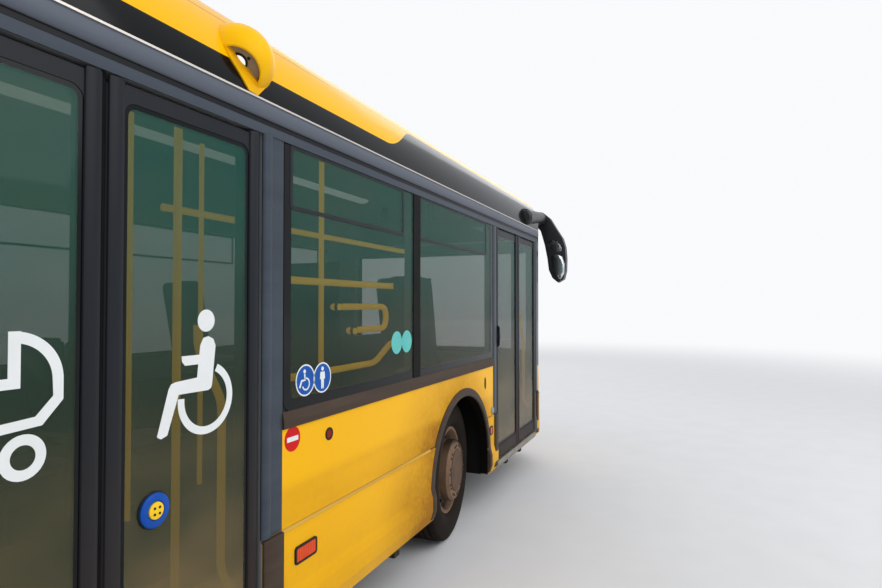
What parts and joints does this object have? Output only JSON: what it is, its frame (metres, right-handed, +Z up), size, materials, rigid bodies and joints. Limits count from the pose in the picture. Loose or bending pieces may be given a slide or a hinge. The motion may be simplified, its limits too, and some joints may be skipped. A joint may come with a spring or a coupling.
{
  "type": "low-entry city bus",
  "caption": "Long low-entry city bus with double doors on the right side, steered single front wheels, twin rear wheels and hollow glazed cabin.",
  "frame": {"origin": "on the ground, under the middle of the overall length and width over the mirrors", "axes": "+X forward along the bus, +Y to its left side, +Z up"},
  "size_m": [12.15, 2.92, 3.05],
  "materials": {
    "body_yellow": "gloss yellow paint, road-dusty towards the skirt",
    "tinted_glass": "tinted glass with a black printed border",
    "door_frame_grey": "grey coated door profiles",
    "frame_steel": "black chassis paint",
    "cast_metal": "grey engine paint",
    "floor_grey": "studded vinyl floor covering",
    "tyre_rubber": "dusty tyre rubber",
    "rim_paint": "grey wheel paint under brake dust",
    "interior_plastic": "grained dark plastic",
    "seat_fabric": "flat woven seat cover",
    "rail_yellow": "yellow powder-coated tube",
    "lamp_lens": "clear and coloured lamp lenses",
    "black_trim": "black plastic"
  },
  "bodies": {
    "bus_body": {"air_springs": "black_trim", "cab_partition": "interior_plastic", "cab_platform": "floor_grey", "dashboard": "interior_plastic", "destination_sign": "interior_plastic", "door_headers": "door_frame_grey", "driver_seat": "seat_fabric", "engine_block": "cast_metal", "flap_hinges": "frame_steel", "floor": "floor_grey", "front_axle": "frame_steel", "front_bumper": "body_yellow", "front_cap": "body_yellow", "handrails": "rail_yellow", "headlamps": "lamp_lens", "lamp_hood": "body_yellow", "mirror_left": "black_trim", "mirror_right": "black_trim", "passenger_seats": "seat_fabric", "rear_axle": "frame_steel", "rear_bench": "seat_fabric", "rear_bumper": "body_yellow", "rear_cap": "body_yellow", "rear_window": "tinted_glass", "roof": "body_yellow", "roof_hatches": "body_yellow", "roof_unit": "body_yellow", "side_wall_left": "body_yellow", "side_wall_right": "body_yellow", "side_windows_left": "tinted_glass", "side_windows_right": "tinted_glass", "skirt_left": "body_yellow", "skirt_right": "body_yellow", "steering_wheel": "interior_plastic", "tail_lamps": "lamp_lens", "underframe": "frame_steel", "wheel_boxes": "floor_grey", "windscreen": "tinted_glass"},
    "front_knuckle_left": {"knuckle_left": "frame_steel"},
    "front_knuckle_right": {"knuckle_right": "frame_steel"},
    "front_wheel_left": {"front_rim_left": "rim_paint", "front_tyre_left": "tyre_rubber"},
    "front_wheel_right": {"front_rim_right": "rim_paint", "front_tyre_right": "tyre_rubber"},
    "rear_wheels_left": {"rear_rims_left": "rim_paint", "rear_tyres_left": "tyre_rubber"},
    "rear_wheels_right": {"rear_rims_right": "rim_paint", "rear_tyres_right": "tyre_rubber"},
    "engine_flap": {"engine_flap": "body_yellow"},
    "front_door_front": {"front_door_front_leaf": "door_frame_grey", "front_door_front_glass": "tinted_glass"},
    "front_door_rear": {"front_door_rear_leaf": "door_frame_grey", "front_door_rear_glass": "tinted_glass"},
    "mid_door_front": {"mid_door_front_leaf": "door_frame_grey", "mid_door_front_glass": "tinted_glass"},
    "mid_door_rear": {"mid_door_rear_leaf": "door_frame_grey", "mid_door_rear_glass": "tinted_glass"}
  },
  "joints": [
    {"name": "steer_left", "type": "hinge", "parent": "bus_body", "child": "front_knuckle_left", "pos_m": [3.225, 0.9375, 0.478], "axis": [0, 0, 1], "range_deg": [-52, 38]},
    {"name": "front_wheel_spin_left", "type": "hinge", "parent": "front_knuckle_left", "child": "front_wheel_left", "pos_m": [3.21159, 1.04668, 0.478], "axis": [-0.1219, 0.9925, 0], "continuous": true},
    {"name": "rear_wheels_spin_left", "type": "hinge", "parent": "bus_body", "child": "rear_wheels_left", "pos_m": [-2.675, 0.8825, 0.478], "axis": [0, 1, 0], "continuous": true},
    {"name": "steer_right", "type": "hinge", "parent": "bus_body", "child": "front_knuckle_right", "pos_m": [3.225, -0.9375, 0.478], "axis": [0, 0, 1], "range_deg": [-52, 38]},
    {"name": "front_wheel_spin_right", "type": "hinge", "parent": "front_knuckle_right", "child": "front_wheel_right", "pos_m": [3.23841, -1.04668, 0.478], "axis": [-0.1219, 0.9925, 0], "continuous": true},
    {"name": "rear_wheels_spin_right", "type": "hinge", "parent": "bus_body", "child": "rear_wheels_right", "pos_m": [-2.675, -0.8825, 0.478], "axis": [0, 1, 0], "continuous": true},
    {"name": "front_door_front_leaf_swing", "type": "hinge", "parent": "bus_body", "child": "front_door_front", "pos_m": [5.233, -1.211, 1.3], "axis": [0, 0, -1], "range_deg": [0, 90]},
    {"name": "front_door_rear_leaf_swing", "type": "hinge", "parent": "bus_body", "child": "front_door_rear", "pos_m": [4.009, -1.211, 1.3], "axis": [0, 0, 1], "range_deg": [0, 90]},
    {"name": "mid_door_front_leaf_swing", "type": "hinge", "parent": "bus_body", "child": "mid_door_front", "pos_m": [1.067, -1.211, 1.3], "axis": [0, 0, -1], "range_deg": [0, 90]},
    {"name": "mid_door_rear_leaf_swing", "type": "hinge", "parent": "bus_body", "child": "mid_door_rear", "pos_m": [-0.133, -1.211, 1.3], "axis": [0, 0, 1], "range_deg": [0, 90]},
    {"name": "engine_flap_lift", "type": "hinge", "parent": "bus_body", "child": "engine_flap", "pos_m": [-6.04, 0, 1.33], "axis": [0, 1, 0], "range_deg": [0, 80]}
  ],
  "couplings": [
    {"joint": "steer_right", "follows": "steer_left", "ratio": 1}
  ]
}
